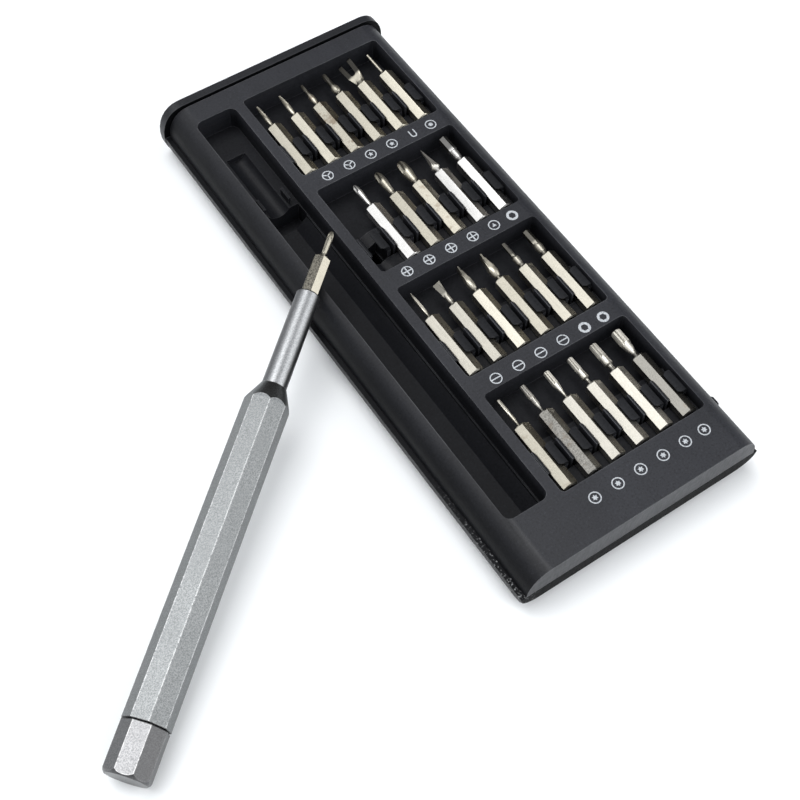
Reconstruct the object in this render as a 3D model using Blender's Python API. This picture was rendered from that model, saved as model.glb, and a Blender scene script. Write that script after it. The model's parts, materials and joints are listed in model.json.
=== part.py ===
"""Precision screwdriver set: a slide-out bit tray, its lower shell, a driver and its bits.

Frame: the origin is the centre of the tray's underside, +X across the tray towards the bits,
+Y along the tray towards its end flange, +Z up. Sizes are in millimetres and MM turns them
into metres. The driver leans on the tray's long edge with its end cap on the table.
"""

from math import atan2, cos, degrees, pi, radians, sin

import bmesh
import bpy
from mathutils import Matrix, Vector

MM = 0.001

# Tray: the upper moulding and the lower shell
NEAR_Y = -82.9                # near end face of both mouldings
FAR_Y = 82.9                  # outer face of the flange
FLANGE_T = 2.4
GROOVE = 0.5                  # shadow gap between the moulding and the flange
TOP_Z = 16.5
SEAM_Z = 8.1                  # top of the lower shell's rim
SEAM_GAP = 0.3
MOULD_HALF_W = 34.1
SHELL_HALF_W = 35.4
FLANGE_HALF_W = 35.6
FLANGE_TOP_Z = 17.1
SIDE_ROUND = 6.5              # how far the rounded side reaches in from the widest line
SHELL_FLOOR = 1.2
SHELL_RIM = 2.2
HOLLOW_ROUND = 2.6
NEAR_ROUND = 3.6              # rounding under the shell's near end

# Bit pockets
ROWS = 4
COLUMNS = 6
ROW_PITCH = 37.2
BIT_PITCH = 7.2
FIRST_BIT_X = -11.1
POCKET_X = (-14.4, 28.7)
POCKET_Y = (42.5, 73.8)       # the row next to the flange
POCKET_FLOOR_Z = 9.0
BIT_END_Y = 43.2
BIT_AXIS_Z = 14.0
ARM_IN = 2.4                  # clip arms, measured from the bit's axis
WIDE_ARM_T = 0.9
THIN_ARM_T = 0.5
ARM_Y = (5.4, 12.0)           # measured from the bit's rear end
WIDE_ARM_TOP_Z = 14.7
THIN_ARM_TOP_Z = 15.9
REST_TOP_Z = 12.6             # ledge and rib that carry the bits in their grooves
REST_AF = 4.6                 # hexagon of the grooves, a little larger than the bits
LEDGE_END = 5.0
RIB_Y = (10.8, 14.6)
FLOOR_T = 1.6
ROOT = 0.4                    # how far an added shape is sunk into the one that carries it

# Driver channel
CHANNEL_X = -23.3             # centre line
CHANNEL_HALF_W = 6.0
CHANNEL_Y = (-68.0, 73.5)
SEAT_AXIS_Z = 11.0
SADDLE_FLOOR_Z = 9.5
SADDLE_Y = (40.6, 63.3)
TROUGH_END_Y = 36.7
TROUGH_HALF_AF = 5.55
PIT_FLOOR_Z = 3.0
PIT_HALF_W = 5.8
TROUGH_RIM_DROP = 0.8         # the trough's upper edges, below the seat's axis
PLINTH_Z = 1.6                # underside of the moulding below the channel
PLINTH_HALF_W = 6.9
PLINTH_WALL = 1.8             # at the channel's two ends
SHAFT_CLIP_X = 3.75           # either side of the channel's centre line
SHAFT_CLIP_T = 0.7
SHAFT_CLIP_Y = (1.0, 5.0)     # measured from the saddle's near end
SHAFT_CLIP_RISE = 1.0         # above the seat's axis

# Near end of the upper moulding, cored out from below, and the sleeve's detent
CORE_HALF_W = 30.0
CORE_WALL = 1.6
CORE_ROOF = 1.8
POCKET_WALL = 1.6             # around the pockets, below the top face
DETENT_Y = -68.0
DETENT_Z = 12.2
DETENT_PROFILE = ((-1.6, 0.35), (-1.0, 0.8), (1.0, 0.8), (1.6, 0.35))

# Bits
HEX_AF = 4.0
HEX_LEN = 19.8
TIP_LEN = 8.9
TIP_START = 1.4               # where a tip's root begins, in front of its thin neck
NECK_R = 0.5
FACET_TURN = 60               # turns a flat tip parallel to the hexagon's upper left facet
FORK_LEN = 9.4
FORK_GAP = (1.5, 2.2)         # between the prongs, at the root and at their ends
FORK_ROOT = 4.7               # centre of the gap's round bottom
FLUTES_FROM = 4.9             # where the flutes of the star tips begin
STAR_NECK = 1.9               # length of the thin neck behind a star tip
ROLL = 1.8                    # largest turn of a bit in its groove, either side of corner-up
DRIVER_BIT_TURN = 18

# Driver, measured along its axis from the end cap's rear face
BAR_R = 5.7                   # octagonal bar, centre to corner
BAR_SIDES = 8
CAP_END = 11.75
BARREL_START = 12.05
CONE_START = 91.0
CONE_END = 96.2
SHAFT_R = 3.1
MOUTH_R = 3.0
MOUTH = 122.8
BIT_REAR = 114.0
SOCKET_AF = 4.5
MAGNET_R = 1.7
MAGNET_LEN = 2.6
BARREL_ROLL = 15.1
CAP_ROLL = 24.3
DRIVER_FOOT = (-128.8, -68.6, 5.5)
DRIVER_HEADING = 50.8         # degrees from +Y towards +X
DRIVER_TILT = 6.0

# End cap bearing
BORE_R = 4.5
BORE_END = 19.0
SPINDLE_R = 1.0
SPINDLE_HOLE_END = 5.0
RACE = (12.8, 15.8)
INNER_RACE_R = 1.95
OUTER_RACE_R = 3.35
GAP = 0.3


def clear_scene():
    for obj in list(bpy.data.objects):
        bpy.data.objects.remove(obj, do_unlink=True)


def material(name, color, roughness, metallic):
    mat = bpy.data.materials.new(name)
    mat.use_nodes = True
    shader = mat.node_tree.nodes["Principled BSDF"]
    shader.inputs["Base Color"].default_value = (*color, 1.0)
    shader.inputs["Roughness"].default_value = roughness
    shader.inputs["Metallic"].default_value = metallic
    return mat


def link_mesh(name, bm, mat=None, smooth=False):
    """Turn a bmesh in millimetres into a linked object in metres."""
    bmesh.ops.recalc_face_normals(bm, faces=bm.faces)
    bmesh.ops.scale(bm, vec=(MM, MM, MM), verts=bm.verts)
    mesh = bpy.data.meshes.new(name)
    bm.to_mesh(mesh)
    bm.free()
    if smooth:
        mesh.shade_smooth()
        mesh.set_sharp_from_angle(angle=radians(35))
    if mat:
        mesh.materials.append(mat)
    obj = bpy.data.objects.new(name, mesh)
    bpy.context.collection.objects.link(obj)
    return obj


def add_loft(bm, rings):
    """Skin rings of points, all of one length, and cap both ends."""
    loops = [[bm.verts.new(point) for point in ring] for ring in rings]
    count = len(loops[0])
    for lower, upper in zip(loops, loops[1:]):
        for i in range(count):
            j = (i + 1) % count
            bm.faces.new((lower[i], lower[j], upper[j], upper[i]))
    bm.faces.new(reversed(loops[0]))
    bm.faces.new(loops[-1])


def loft(name, rings, mat=None, smooth=False):
    bm = bmesh.new()
    add_loft(bm, rings)
    return link_mesh(name, bm, mat, smooth)


def add_box(bm, low, high):
    (x0, y0, z0), (x1, y1, z1) = low, high
    ring = ((x0, y0), (x1, y0), (x1, y1), (x0, y1))
    add_loft(bm, [[(x, y, z) for x, y in ring] for z in (z0, z1)])


def boxes(name, spans):
    bm = bmesh.new()
    for low, high in spans:
        add_box(bm, low, high)
    return link_mesh(name, bm)


def rounded_box(bm, x_span, y_span, z_span, radius, segments=3):
    """A box whose four upright edges are rounded."""
    ring = []
    for cx, cy, start in (
        (x_span[1] - radius, y_span[1] - radius, 0),
        (x_span[0] + radius, y_span[1] - radius, 90),
        (x_span[0] + radius, y_span[0] + radius, 180),
        (x_span[1] - radius, y_span[0] + radius, 270),
    ):
        for k in range(segments + 1):
            turn = radians(start + 90 * k / segments)
            ring.append((cx + radius * cos(turn), cy + radius * sin(turn)))
    add_loft(bm, [[(x, y, z) for x, y in ring] for z in z_span])


def revolve(bm, profile, segments=40):
    """Turn a profile of (axial, radius) points about the Z axis."""
    turns = [2 * pi * k / segments for k in range(segments)]
    add_loft(bm, [[(r * cos(t), r * sin(t), z) for t in turns] for z, r in profile])


def turned(name, profile, mat=None, segments=40):
    bm = bmesh.new()
    revolve(bm, profile, segments)
    return link_mesh(name, bm, mat, smooth=True)


def regular_ring(sides, radius, z, roll):
    turns = [radians(roll) + 2 * pi * k / sides for k in range(sides)]
    return [(radius * cos(t), radius * sin(t), z) for t in turns]


def bar(name, sides, radius, z_span, roll, mat=None):
    return loft(name, [regular_ring(sides, radius, z, roll) for z in z_span], mat)


def boolean(target, tool, operation):
    """Apply a cutter or an added shape, which stays as a wireframe guide."""
    modifier = target.modifiers.new(tool.name, "BOOLEAN")
    modifier.operation = operation
    modifier.object = tool
    modifier.solver = "EXACT"
    tool.hide_render = True
    tool.display_type = "WIRE"
    tool.parent = target


def side_curve(half_w, low_z, high_z, upwards, reach=SIDE_ROUND, steps=7, power=2.2):
    """One rounded side, from the widest line to the flat, as (x, z) points on the +X side."""
    points = []
    for k in range(steps + 1):
        turn = pi / 2 * k / steps
        x = half_w - reach + reach * cos(turn) ** (2 / power)
        rise = (high_z - low_z) * sin(turn) ** (2 / power)
        points.append((x, low_z + rise if upwards else high_z - rise))
    return points


def half_section(half_w, low_z, high_z, upwards, reach=SIDE_ROUND):
    """A flat-backed half of the oval section, as a closed outline."""
    right = side_curve(half_w, low_z, high_z, upwards, reach)
    left = [(-x, z) for x, z in reversed(right)]
    return right + left


def bit_x(column):
    return FIRST_BIT_X + BIT_PITCH * column


def row_y(row):
    """Offset of a row from the one next to the flange."""
    return -ROW_PITCH * row


# Tray


def slots():
    return [(bit_x(c), BIT_END_Y + row_y(r), r) for r in range(ROWS) for c in range(COLUMNS)]


def pocket_cutter():
    bm = bmesh.new()
    for row in range(ROWS):
        y_span = [y + row_y(row) for y in POCKET_Y]
        rounded_box(bm, POCKET_X, y_span, (POCKET_FLOOR_Z, TOP_Z + 2), 1.1)
    return link_mesh("pocket_cutter", bm)


def channel_cutter():
    bm = bmesh.new()
    x_span = (CHANNEL_X - CHANNEL_HALF_W, CHANNEL_X + CHANNEL_HALF_W)
    rounded_box(bm, x_span, CHANNEL_Y, (SADDLE_FLOOR_Z, TOP_Z + 2), 2.0, 4)
    return link_mesh("channel_cutter", bm)


def trough_cutter():
    """The lower half of an octagon, a little larger than the driver's bar."""
    half = TROUGH_HALF_AF
    flat = half * (2 ** 0.5 - 1)
    left = [(-half, -TROUGH_RIM_DROP), (-half, -flat), (-flat, -half)]
    outline = left + [(-x, z) for x, z in reversed(left)]
    span = (CHANNEL_Y[0] + 0.5, TROUGH_END_Y)
    rings = [[(CHANNEL_X + x, y, SEAT_AXIS_Z + z) for x, z in outline] for y in span]
    return loft("trough_cutter", rings)


def saddle_cutter():
    bm = bmesh.new()
    groove_r = SHAFT_R + 0.2
    revolve(bm, [(SADDLE_Y[0] - 1, groove_r), (SADDLE_Y[1], groove_r)], 32)
    turn = Matrix.Rotation(radians(-90), 4, "X")
    place = Matrix.Translation((CHANNEL_X, 0, SEAT_AXIS_Z))
    bmesh.ops.transform(bm, matrix=place @ turn, verts=bm.verts)
    return link_mesh("saddle_cutter", bm)


def detent_nub():
    """The small bump on the right-hand side that clicks into the outer sleeve."""
    bm = bmesh.new()
    revolve(bm, DETENT_PROFILE, 12)
    turn = Matrix.Rotation(radians(-90), 4, "X")
    place = Matrix.Translation((MOULD_HALF_W - 0.9, DETENT_Y, DETENT_Z))
    bmesh.ops.transform(bm, matrix=place @ turn, verts=bm.verts)
    return link_mesh("detent_nub", bm)


def arm_spans(inner, outer, top_z):
    """One straight clip arm beside every bit, rooted in the pocket's floor."""
    spans = []
    for x, y, _row in slots():
        low_x, high_x = sorted((x + inner, x + outer))
        low = (low_x, y + ARM_Y[0], POCKET_FLOOR_Z - ROOT)
        spans.append((low, (high_x, y + ARM_Y[1], top_z)))
    return spans


def rest_spans():
    """In each pocket a ledge along the near wall and a rib, which carry its bits."""
    low_z = POCKET_FLOOR_Z - ROOT
    low_x, high_x = POCKET_X[0] - ROOT, POCKET_X[1] + ROOT
    spans = []
    for row in range(ROWS):
        wall_y = POCKET_Y[0] + row_y(row) - ROOT
        y = BIT_END_Y + row_y(row)
        spans.append(((low_x, wall_y, low_z), (high_x, y + LEDGE_END, REST_TOP_Z)))
        spans.append(((low_x, y + RIB_Y[0], low_z), (high_x, y + RIB_Y[1], REST_TOP_Z)))
    return spans


def groove_cutter():
    """Hexagonal grooves through the ledges and ribs, one under each bit."""
    corner_r = REST_AF / 2 / cos(pi / 6)
    wall_gap = BIT_END_Y - POCKET_Y[0] - 0.1
    bm = bmesh.new()
    for x, y, _row in slots():
        ring = regular_ring(6, corner_r, 0, 90)
        add_loft(bm, [
            [(x + px, y + end, BIT_AXIS_Z + py) for px, py, _z in ring]
            for end in (-wall_gap, RIB_Y[1] + 1)
        ])
    return link_mesh("groove_cutter", bm)


def hole_spans():
    """The openings in the floor below the clips, which free the arms in the mould."""
    half = ARM_IN - 0.3
    return [
        (
            (x - half, y + LEDGE_END, POCKET_FLOOR_Z - FLOOR_T - 1),
            (x + half, y + RIB_Y[0], POCKET_FLOOR_Z + 1),
        )
        for x, y, _row in slots()
    ]


def build_bit_tray(mat):
    outline = half_section(MOULD_HALF_W, SEAM_Z + SEAM_GAP, TOP_Z, True)
    far_y = FAR_Y - FLANGE_T - GROOVE
    rings = [[(x, y, z) for x, z in outline] for y in (NEAR_Y, far_y)]
    tray = loft("bit_tray", rings, mat)

    plinth_x = (CHANNEL_X - PLINTH_HALF_W, CHANNEL_X + PLINTH_HALF_W)
    plinth_y = (CHANNEL_Y[0] - PLINTH_WALL, CHANNEL_Y[1] + PLINTH_WALL)
    plinth = boxes("channel_plinth", [
        ((plinth_x[0], plinth_y[0], PLINTH_Z), (plinth_x[1], plinth_y[1], SADDLE_FLOOR_Z + 0.6)),
    ])
    near_pocket_y = POCKET_Y[0] + row_y(ROWS - 1)
    plate_low = (POCKET_X[0] - 1.2, near_pocket_y - POCKET_WALL, POCKET_FLOOR_Z - FLOOR_T)
    plate_high = (POCKET_X[1] + POCKET_WALL, POCKET_Y[1] + POCKET_WALL, POCKET_FLOOR_Z + 0.6)
    boolean(tray, plinth, "UNION")
    boolean(tray, boxes("pocket_floor", [(plate_low, plate_high)]), "UNION")

    core = (
        (-CORE_HALF_W, NEAR_Y + CORE_WALL, SEAM_Z - 0.5),
        (CORE_HALF_W, plate_low[1] - CORE_WALL, TOP_Z - CORE_ROOF),
    )
    boolean(tray, boxes("near_end_core", [core]), "DIFFERENCE")
    boolean(tray, pocket_cutter(), "DIFFERENCE")
    boolean(tray, channel_cutter(), "DIFFERENCE")
    boolean(tray, trough_cutter(), "DIFFERENCE")
    pit = (
        (CHANNEL_X - PIT_HALF_W, TROUGH_END_Y - 0.6, PIT_FLOOR_Z),
        (CHANNEL_X + PIT_HALF_W, SADDLE_Y[0], SADDLE_FLOOR_Z + 0.7),
    )
    boolean(tray, boxes("pit_cutter", [pit]), "DIFFERENCE")
    boolean(tray, saddle_cutter(), "DIFFERENCE")

    boolean(tray, boxes("bit_rests", rest_spans()), "UNION")
    boolean(tray, groove_cutter(), "DIFFERENCE")
    wide_arms = arm_spans(ARM_IN, ARM_IN + WIDE_ARM_T, WIDE_ARM_TOP_Z)
    thin_arms = arm_spans(-ARM_IN, -ARM_IN - THIN_ARM_T, THIN_ARM_TOP_Z)
    boolean(tray, boxes("wide_arms", wide_arms), "UNION")
    boolean(tray, boxes("thin_arms", thin_arms), "UNION")
    boolean(tray, boxes("clip_holes", hole_spans()), "DIFFERENCE")

    first_y, last_y = [SADDLE_Y[0] + y for y in SHAFT_CLIP_Y]
    half_t = SHAFT_CLIP_T / 2
    clips = [
        (
            (CHANNEL_X + side - half_t, first_y, SADDLE_FLOOR_Z - ROOT),
            (CHANNEL_X + side + half_t, last_y, SEAT_AXIS_Z + SHAFT_CLIP_RISE),
        )
        for side in (-SHAFT_CLIP_X, SHAFT_CLIP_X)
    ]
    boolean(tray, boxes("shaft_clips", clips), "UNION")
    boolean(tray, detent_nub(), "UNION")
    return tray


def build_tray_base(mat):
    """The lower shell, with the flange that closes the far end in one piece with it."""
    rings = []
    for drop in (0.0, 0.3, 0.65, 1.0):
        lift = NEAR_ROUND * (1 - (1 - (1 - drop) ** 2) ** 0.5)
        outline = half_section(SHELL_HALF_W, lift, SEAM_Z, False)
        y = NEAR_Y + NEAR_ROUND * drop
        rings.append([(x, y, z) for x, z in outline])
    outline = half_section(SHELL_HALF_W, 0.0, SEAM_Z, False)
    rings.append([(x, FAR_Y - 1.2, z) for x, z in outline])
    base = loft("tray_base", rings, mat)

    middle = FLANGE_TOP_Z / 2
    upper = side_curve(FLANGE_HALF_W, middle, FLANGE_TOP_Z, True)
    lower = side_curve(FLANGE_HALF_W, 0.0, middle, False)
    right = list(reversed(lower))[:-1] + upper
    outline = right + [(-x, z) for x, z in reversed(right)]
    span = (FAR_Y - FLANGE_T, FAR_Y)
    flange = loft("end_flange", [[(x, y, z) for x, z in outline] for y in span])
    boolean(base, flange, "UNION")

    hollow = half_section(SHELL_HALF_W - SHELL_RIM, SHELL_FLOOR, SEAM_Z + 1, False, HOLLOW_ROUND)
    span = (NEAR_Y + 1.8, FAR_Y - FLANGE_T - 0.4)
    boolean(base, loft("shell_hollow", [[(x, y, z) for x, z in hollow] for y in span]), "DIFFERENCE")
    return base


# Bits


def ray_radius(turn, corners):
    """Distance from the centre to a closed outline of (angle, radius) corners."""
    full = 2 * pi
    ordered = sorted(((a % full), r) for a, r in corners)
    after = next((i for i, (a, _r) in enumerate(ordered) if a > turn % full + 1e-9), 0)
    (a0, r0), (a1, r1) = ordered[after - 1], ordered[after]
    p = Vector((r0 * cos(a0), r0 * sin(a0)))
    q = Vector((r1 * cos(a1), r1 * sin(a1)))
    ray = Vector((cos(turn), sin(turn)))
    edge = q - p
    return (p.x * q.y - p.y * q.x) / (ray.x * edge.y - ray.y * edge.x)


def lobes(count, valley, half_width=0.0, phase=0.0):
    """A star outline of unit radius: peaks, blunt if half_width isn't 0, with valleys between."""
    step = 2 * pi / count
    corners = []
    for k in range(count):
        peak = phase + k * step
        if half_width:
            corners += [(peak - radians(half_width), 1.0), (peak + radians(half_width), 1.0)]
        else:
            corners.append((peak, 1.0))
        if valley:
            corners.append((peak + step / 2, valley))
    return corners


def blade(ratio, turn=0):
    """A flat bar's outline: half width 1, half thickness ratio."""
    corner = atan2(ratio, 1.0)
    radius = (1 + ratio * ratio) ** 0.5
    return [(radians(turn) + a, radius) for a in (corner, pi - corner, pi + corner, -corner)]


HEXAGON = lobes(6, 0)
STAR = lobes(6, 0.8, 13)
FIVE_LOBE = lobes(5, 0.72, 13)
THREE_WING = lobes(3, 0.55, 14)
CROSS = lobes(4, 0.42, 13)
CROSS_ROOT = lobes(4, 0.8, 13)
TRIANGLE = lobes(3, 0, phase=pi / 6)
ROUND = None

# A tip is a list of (height above the hexagon's front face, outline, radius)


def neck(radius=NECK_R):
    return [(0.2, ROUND, radius), (TIP_START - 0.3, ROUND, radius)]


def driven_tip(outline, radius, head, root, root_end, length=TIP_LEN):
    """A turned root that swells away from its neck, and a straight head of one outline."""
    return neck(root * 0.68) + [
        (TIP_START, ROUND, root * 0.84),
        (root_end - 0.4, ROUND, root),
        (root_end, ROUND, root * 0.96),
        (length - head - 0.3, ROUND, radius * 0.9),
        (length - head, outline, radius),
        (length - 0.15, outline, radius * 0.97),
        (length, outline, radius * 0.86),
    ]


def stepped_tip(outline, radius, root, step, length=TIP_LEN):
    """A short swelling, then a slim straight shank whose end has the outline."""
    return neck() + [
        (TIP_START, ROUND, root * 0.72),
        (step - 1.2, ROUND, root),
        (step, ROUND, root),
        (step + 0.8, ROUND, radius * 1.1),
        (length - 2.8, ROUND, radius),
        (length - 2.2, outline, radius),
        (length, outline, radius * 0.85),
    ]


def star_tip(radius, root, neck_r, shoulder):
    """A fluted head, and a smooth root that meets a thin neck in a shoulder of some length."""
    return [
        (0.2, ROUND, neck_r),
        (STAR_NECK, ROUND, neck_r),
        (STAR_NECK + shoulder, ROUND, root),
        (FLUTES_FROM - 0.5, ROUND, radius * 0.94),
        (FLUTES_FROM, STAR, radius),
        (TIP_LEN - 0.2, STAR, radius * 0.96),
        (TIP_LEN, STAR, radius * 0.8),
    ]


def pointed_tip(outline, root, point, belly, length=TIP_LEN):
    """A round root that swells up to its belly, then a long taper with one outline."""
    return neck(root * 0.6) + [
        (TIP_START, ROUND, root * 0.72),
        (belly, ROUND, root),
        (belly + 1.4, outline, root * 0.86),
        (length, outline, point),
    ]


def cross_tip(radius, flute, length, root=0.6):
    """A shank that widens, from a share of the radius, to four flutes and a blunt point."""
    return neck(radius * root * 0.78) + [
        (TIP_START, ROUND, radius * root),
        (length - flute, ROUND, radius * 0.94),
        (length - flute * 0.8, CROSS_ROOT, radius),
        (length - 0.9, CROSS, radius * 0.85),
        (length, CROSS, radius * 0.4),
    ]


def slot_tip(root, half_width, end_t, belly, length=TIP_LEN):
    """A round root that swells, then flattens into a blade."""
    return neck() + [
        (TIP_START, ROUND, root * 0.66),
        (belly, ROUND, root),
        (belly + 1.5, blade(0.8), root * 0.84),
        (length - 1.6, blade(end_t * 1.3 / half_width), half_width),
        (length, blade(end_t / 2 / half_width), half_width),
    ]


def spade_tip(root, half_width, end_t, belly, length):
    """A slim round root that widens into a flat blade, parallel to a facet."""
    return neck(root * 0.8) + [
        (TIP_START, ROUND, root),
        (belly, ROUND, root),
        (belly + 1.0, blade(0.6, FACET_TURN), root * 0.95),
        (length, blade(end_t / 2 / half_width, FACET_TURN), half_width),
    ]


def turned_ring(z, outline, radius, turns):
    if outline is None:
        return [(radius * cos(t), radius * sin(t), z) for t in turns]
    reach = [radius * ray_radius(t, outline) for t in turns]
    return [(r * cos(t), r * sin(t), z) for t, r in zip(turns, reach)]


def build_bit(name, tip, mat):
    """A hexagonal bit along +Z, with its rear face at the origin."""
    corner_r = HEX_AF / 2 / cos(pi / 6)
    turns = set(range(0, 360, 30))
    for _z, outline, _r in tip:
        if outline:
            turns |= {round(degrees(a) % 360, 3) for a, _r in outline}
    turns = [radians(t) for t in sorted(turns)]
    body = [
        (0.0, HEXAGON, corner_r * 0.84),
        (0.4, HEXAGON, corner_r),
        (HEX_LEN - 0.5, HEXAGON, corner_r),
        (HEX_LEN, ROUND, corner_r * 0.74),
    ]
    sections = body + [(HEX_LEN + z, outline, r) for z, outline, r in tip]
    rings = [turned_ring(z, outline, r, turns) for z, outline, r in sections]
    return loft(name, rings, mat, smooth=True)


def fork_gap(name):
    """The round-bottomed opening between the fork's two prongs, wider at their ends."""
    root, end = (width / 2 for width in FORK_GAP)
    centre_z = HEX_LEN + FORK_ROOT
    end_z = HEX_LEN + FORK_LEN + 1
    outline = [(end, end_z), (-end, end_z)]
    for k in range(9):
        turn = pi * (1 + k / 8)
        outline.append((root * cos(turn), centre_z + root * sin(turn)))
    c, s = cos(radians(FACET_TURN)), sin(radians(FACET_TURN))
    return loft(name, [[(x * c - y * s, x * s + y * c, z) for x, z in outline] for y in (-2.0, 2.0)])


FORK = [
    (0.15, ROUND, 1.1),
    (0.9, ROUND, 1.15),
    (2.4, blade(0.5, FACET_TURN), 1.5),
    (4.4, blade(0.3, FACET_TURN), 2.0),
    (FORK_LEN - 0.4, blade(0.25, FACET_TURN), 2.2),
    (FORK_LEN, blade(0.22, FACET_TURN), 2.0),
]
PIN = neck() + [(TIP_START, ROUND, 0.42), (TIP_LEN - 0.2, ROUND, 0.38), (TIP_LEN, ROUND, 0.25)]

BIT_TIPS = [
    [
        ("bit_three_wing_1", pointed_tip(THREE_WING, 0.72, 0.3, belly=3.4)),
        ("bit_three_wing_2", pointed_tip(THREE_WING, 0.78, 0.34, belly=3.8)),
        ("bit_five_lobe_1", stepped_tip(FIVE_LOBE, 0.5, root=0.85, step=3.9)),
        ("bit_five_lobe_2", stepped_tip(FIVE_LOBE, 0.7, root=1.12, step=3.2)),
        ("bit_fork", FORK),
        ("bit_pin", PIN),
    ],
    [
        ("bit_cross_1", cross_tip(0.8, 2.6, 7.9, root=0.85)),
        ("bit_cross_2", cross_tip(0.85, 3.0, 8.6)),
        ("bit_cross_3", cross_tip(1.25, 3.8, 9.0)),
        ("bit_cross_4", cross_tip(1.5, 4.4, 8.8)),
        ("bit_triangle", pointed_tip(TRIANGLE, 1.3, 0.16, belly=2.0, length=9.0)),
        ("bit_hex_3", driven_tip(HEXAGON, 1.3, 5.0, root=1.12, root_end=3.9, length=9.2)),
    ],
    [
        ("bit_slot_1", slot_tip(0.56, 0.32, 0.2, belly=2.4)),
        ("bit_slot_2", spade_tip(0.72, 1.08, 0.36, belly=3.2, length=8.0)),
        ("bit_slot_3", slot_tip(1.12, 0.95, 0.26, belly=3.0)),
        ("bit_slot_4", slot_tip(1.3, 1.1, 0.3, belly=3.1)),
        ("bit_hex_1", driven_tip(HEXAGON, 0.62, 4.5, root=1.0, root_end=3.6)),
        ("bit_hex_2", driven_tip(HEXAGON, 1.08, 4.4, root=1.2, root_end=3.6)),
    ],
    [
        ("bit_star_1", star_tip(0.5, 0.56, 0.38, 0.5)),
        ("bit_star_2", star_tip(0.76, 0.7, 0.38, 1.0)),
        ("bit_star_3", star_tip(0.9, 0.62, 0.38, 1.3)),
        ("bit_star_4", star_tip(0.88, 0.98, 0.4, 0.3)),
        ("bit_star_5", star_tip(1.12, 1.16, 0.6, 0.3)),
        ("bit_star_6", star_tip(1.42, 0.98, 0.7, 0.6)),
    ],
]
DRIVER_BIT = "bit_cross_1"


def bit_roll(row, column):
    """A small turn of each bit about its own axis, either side of corner-up."""
    return ROLL * sin(2.3 * column + 1.7 * row + 0.6)


def build_bits(mat, driver_axis):
    lay_down = Matrix.Rotation(radians(-90), 4, "X")
    for row, tips in enumerate(BIT_TIPS):
        for column, (name, tip) in enumerate(tips):
            bit = build_bit(name, tip, mat)
            if name == "bit_fork":
                boolean(bit, fork_gap("fork_gap"), "DIFFERENCE")
            if name == DRIVER_BIT:
                bit.parent = driver_axis
                bit.location = (0, 0, BIT_REAR * MM)
                bit.rotation_euler = (0, 0, radians(DRIVER_BIT_TURN))
                continue
            place = Vector((bit_x(column), BIT_END_Y + row_y(row), BIT_AXIS_Z)) * MM
            spin = Matrix.Rotation(radians(90 + bit_roll(row, column)), 4, "Z")
            bit.matrix_world = Matrix.Translation(place) @ lay_down @ spin


# Driver, built along +Z of its own axis


def build_barrel(mat, axis):
    span = (BARREL_START, MOUTH)
    barrel = bar("handle_barrel", BAR_SIDES, BAR_R, span, BARREL_ROLL, mat)
    envelope = turned("barrel_turning", [
        (BARREL_START - 1, BAR_R + 0.1),
        (CONE_START, BAR_R + 0.05),
        (CONE_END, SHAFT_R + 0.2),
        (CONE_END + 0.1, SHAFT_R),
        (MOUTH - 0.4, MOUTH_R),
        (MOUTH + 1, MOUTH_R - 0.9),
    ], segments=48)
    boolean(barrel, envelope, "INTERSECT")
    bore = turned("bearing_bore", [(BARREL_START - 1, BORE_R), (BORE_END, BORE_R)])
    boolean(barrel, bore, "DIFFERENCE")
    socket_r = SOCKET_AF / 2 / cos(pi / 6)
    socket_span = (BIT_REAR - GAP, MOUTH + 1)
    socket = bar("socket_cutter", 6, socket_r, socket_span, DRIVER_BIT_TURN)
    boolean(barrel, socket, "DIFFERENCE")
    seat = (BIT_REAR - 2 * GAP - MAGNET_LEN - GAP, BIT_REAR - GAP + 0.2)
    magnet_bore = turned("magnet_bore", [(s, MAGNET_R + GAP) for s in seat], segments=24)
    boolean(barrel, magnet_bore, "DIFFERENCE")
    barrel.parent = axis


def build_end_cap(mat, axis):
    cap = bar("end_cap", BAR_SIDES, BAR_R, (0.0, CAP_END), CAP_ROLL, mat)
    envelope = turned("cap_turning", [
        (-0.5, BAR_R - 1.25),
        (0.0, BAR_R - 0.75),
        (0.45, BAR_R - 0.28),
        (1.1, BAR_R + 0.05),
        (CAP_END + 1, BAR_R + 0.1),
    ], segments=48)
    boolean(cap, envelope, "INTERSECT")
    hole_span = (SPINDLE_HOLE_END, CAP_END + 1)
    hole = turned("spindle_hole", [(s, SPINDLE_R + GAP) for s in hole_span])
    boolean(cap, hole, "DIFFERENCE")
    dimple = turned("centre_mark", [(-1.0, 0.9), (0.25, 0.12)], segments=16)
    boolean(cap, dimple, "DIFFERENCE")
    cap.parent = axis


def build_ring(name, inner_r, outer_r, span, mat, axis):
    ring = turned(name, [(span[0], outer_r), (span[1], outer_r)], mat, 32)
    hole_span = (span[0] - 1, span[1] + 1)
    hole = turned(name + "_hole", [(s, inner_r) for s in hole_span], None, 32)
    boolean(ring, hole, "DIFFERENCE")
    ring.parent = axis


def build_ball_ring(mat, axis):
    """The ball track of the end cap's bearing, drawn as one ring."""
    centre_r = (INNER_RACE_R + OUTER_RACE_R) / 2
    tube_r = (OUTER_RACE_R - INNER_RACE_R) / 2 - GAP - 0.03
    middle = (RACE[0] + RACE[1]) / 2
    steps = 28
    sides = 8
    bm = bmesh.new()
    loops = []
    for k in range(steps):
        turn = 2 * pi * k / steps
        loop = []
        for j in range(sides):
            tube = 2 * pi * j / sides
            reach = centre_r + tube_r * cos(tube)
            point = (reach * cos(turn), reach * sin(turn), middle + tube_r * sin(tube))
            loop.append(bm.verts.new(point))
        loops.append(loop)
    for k in range(steps):
        a, b = loops[k], loops[(k + 1) % steps]
        for j in range(sides):
            i = (j + 1) % sides
            bm.faces.new((a[j], a[i], b[i], b[j]))
    ring = link_mesh("bearing_ball_ring", bm, mat, smooth=True)
    ring.parent = axis


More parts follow.
